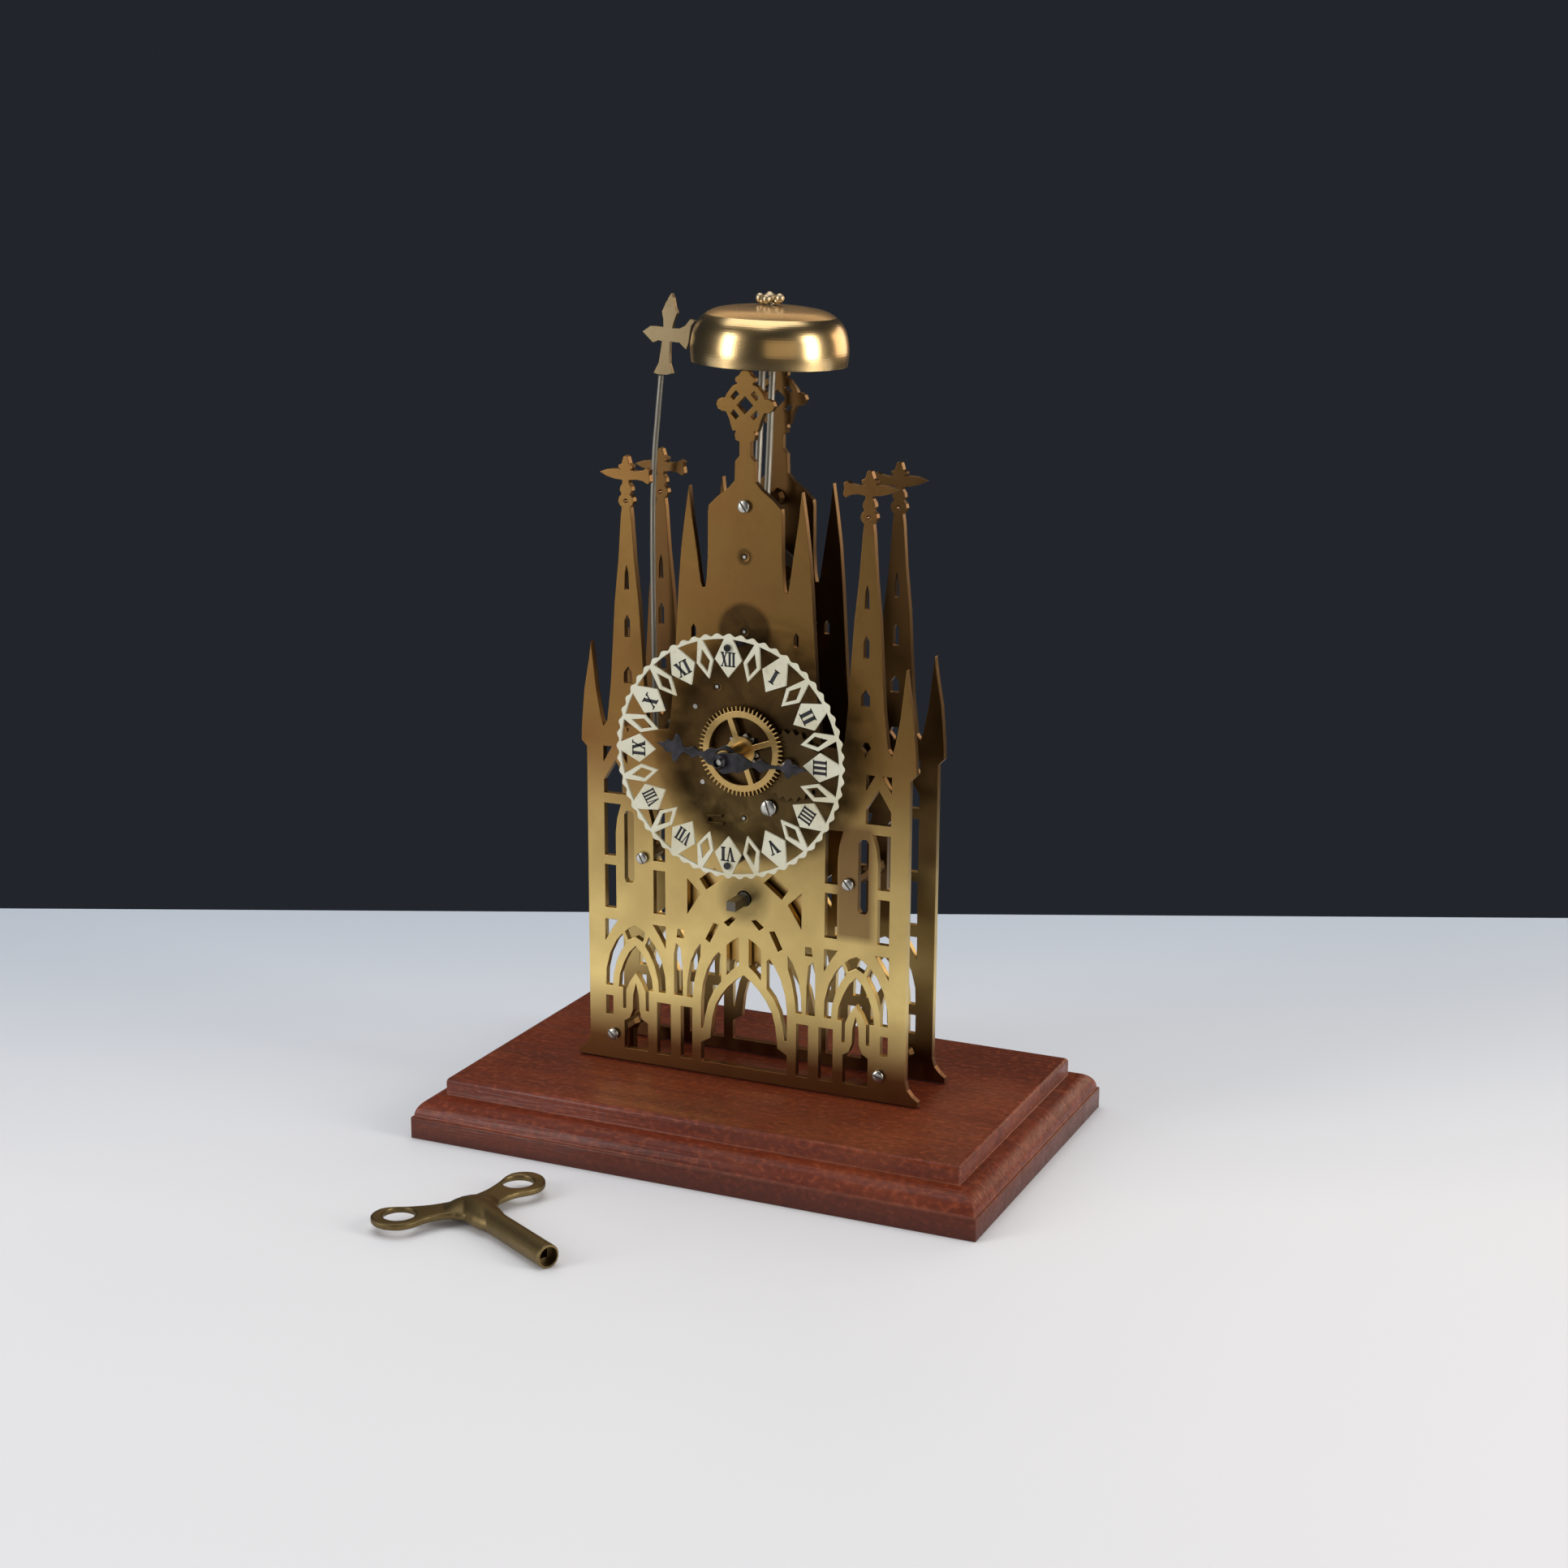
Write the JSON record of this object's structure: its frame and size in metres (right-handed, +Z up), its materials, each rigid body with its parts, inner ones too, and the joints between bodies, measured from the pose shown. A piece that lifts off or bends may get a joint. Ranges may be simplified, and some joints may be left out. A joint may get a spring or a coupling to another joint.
{
  "type": "skeleton clock",
  "caption": "Gothic skeleton clock with fretted brass plates, a pierced dial, an open going train, a bell, a pendulum, a wooden base and a loose winding key.",
  "frame": {"origin": "middle of the wooden base's underside", "axes": "+Z up, -Y the way the dial faces, +X to the right of someone who looks at the dial"},
  "size_m": [0.2, 0.1982, 0.2774],
  "materials": {
    "mahogany": "polished",
    "plate_brass": "aged, brushed",
    "wheel_brass": "satin",
    "bell_brass": "polished",
    "old_brass": "dull",
    "steel": "polished",
    "blued_steel": "dark, satin",
    "silvered": "silvered, matt"
  },
  "bodies": {
    "frame": {"base": "mahogany", "front_plate": "plate_brass", "rear_plate": "plate_brass", "pillar_top": "plate_brass", "pillar_left": "plate_brass", "pillar_right": "plate_brass", "pillar_foot_left": "plate_brass", "pillar_foot_right": "plate_brass", "front_screw_top": "steel", "front_screw_left": "steel", "front_screw_right": "steel", "front_screw_foot_left": "steel", "front_screw_foot_right": "steel", "lever_screw": "steel", "dial_ring": "silvered", "dial_foot_top": "blued_steel", "dial_foot_bottom": "blued_steel", "minute_stud": "steel", "click_screw": "steel", "click_spring": "steel", "back_cock": "plate_brass", "cock_screw": "steel", "hammer_stop": "steel", "hammer_spring": "steel", "bell_stand": "steel", "bell": "bell_brass", "bell_nut": "plate_brass"},
    "barrel": {"barrel": "wheel_brass", "barrel_cap": "wheel_brass"},
    "winding": {"barrel_arbor": "steel", "ratchet_wheel": "steel"},
    "click": {"click": "steel"},
    "second": {"second_wheel": "wheel_brass", "second_arbor": "steel"},
    "centre": {"centre_wheel": "wheel_brass", "centre_arbor": "steel", "lifting_cam": "steel", "cannon_pinion": "steel", "minute_hand": "blued_steel", "hand_nut": "steel"},
    "hour": {"hour_wheel": "wheel_brass", "hour_hand": "blued_steel"},
    "minute_work": {"minute_wheel": "wheel_brass"},
    "third": {"third_wheel": "wheel_brass", "third_arbor": "steel"},
    "escape": {"escape_wheel": "wheel_brass", "escape_arbor": "steel"},
    "pallet": {"pallets": "steel", "pallet_arbor": "steel", "crutch": "steel"},
    "pendulum": {"suspension_spring": "steel", "pendulum_rod": "steel", "pendulum_bob": "bell_brass", "rating_nut": "wheel_brass"},
    "hammer": {"hammer_head": "plate_brass", "hammer_arm": "steel", "hammer_arbor": "steel"},
    "key": {"key": "old_brass"}
  },
  "joints": [
    {"name": "centre_turn", "type": "hinge", "parent": "frame", "child": "centre", "pos_m": [0, 0, 0.133], "axis": [0, 1, 0], "continuous": true},
    {"name": "minute_work_turn", "type": "hinge", "parent": "frame", "child": "minute_work", "pos_m": [0.0166, 0, 0.1296], "axis": [0, 1, 0], "continuous": true},
    {"name": "hour_turn", "type": "hinge", "parent": "frame", "child": "hour", "pos_m": [0, 0, 0.133], "axis": [0, 1, 0], "continuous": true},
    {"name": "second_turn", "type": "hinge", "parent": "frame", "child": "second", "pos_m": [0, 0, 0.1102], "axis": [0, 1, 0], "continuous": true},
    {"name": "barrel_turn", "type": "hinge", "parent": "frame", "child": "barrel", "pos_m": [0, 0, 0.083], "axis": [0, 1, 0], "continuous": true},
    {"name": "third_turn", "type": "hinge", "parent": "frame", "child": "third", "pos_m": [-0.0096, 0, 0.153], "axis": [0, 1, 0], "continuous": true},
    {"name": "escape_turn", "type": "hinge", "parent": "frame", "child": "escape", "pos_m": [0, 0, 0.1717], "axis": [0, 1, 0], "continuous": true},
    {"name": "winding_turn", "type": "hinge", "parent": "frame", "child": "winding", "pos_m": [0, 0, 0.083], "axis": [0, 1, 0], "continuous": true},
    {"name": "click_lift", "type": "hinge", "parent": "frame", "child": "click", "pos_m": [0.012, 0, 0.0995], "axis": [0, 1, 0], "range_deg": [0, 5], "stiffness_Nm_per_rad": 0.002, "springref_deg": -2.86},
    {"name": "pallet_rock", "type": "hinge", "parent": "frame", "child": "pallet", "pos_m": [0, 0, 0.1957], "axis": [0, 1, 0], "range_deg": [-3, 3]},
    {"name": "pendulum_swing", "type": "hinge", "parent": "frame", "child": "pendulum", "pos_m": [0, 0, 0.1957], "axis": [0, 1, 0], "range_deg": [-3, 3]},
    {"name": "hammer_lift", "type": "hinge", "parent": "frame", "child": "hammer", "pos_m": [-0.041, 0, 0.1208], "axis": [0, 1, 0], "range_deg": [-8, 0], "stiffness_Nm_per_rad": 0.02, "springref_deg": 5.73},
    {"name": "key_lift", "type": "slide", "parent": "frame", "child": "key", "axis": [0, 0, 1], "range_m": [0, 0.03]}
  ],
  "couplings": [
    {"joint": "centre_turn", "follows": "third_turn", "ratio": -0.083333},
    {"joint": "minute_work_turn", "follows": "third_turn", "ratio": 0.041667},
    {"joint": "hour_turn", "follows": "third_turn", "ratio": -0.0069444},
    {"joint": "second_turn", "follows": "third_turn", "ratio": 0.016667},
    {"joint": "barrel_turn", "follows": "third_turn", "ratio": -0.002381},
    {"joint": "escape_turn", "follows": "third_turn", "ratio": -16},
    {"joint": "pallet_rock", "follows": "pendulum_swing", "ratio": 1}
  ]
}
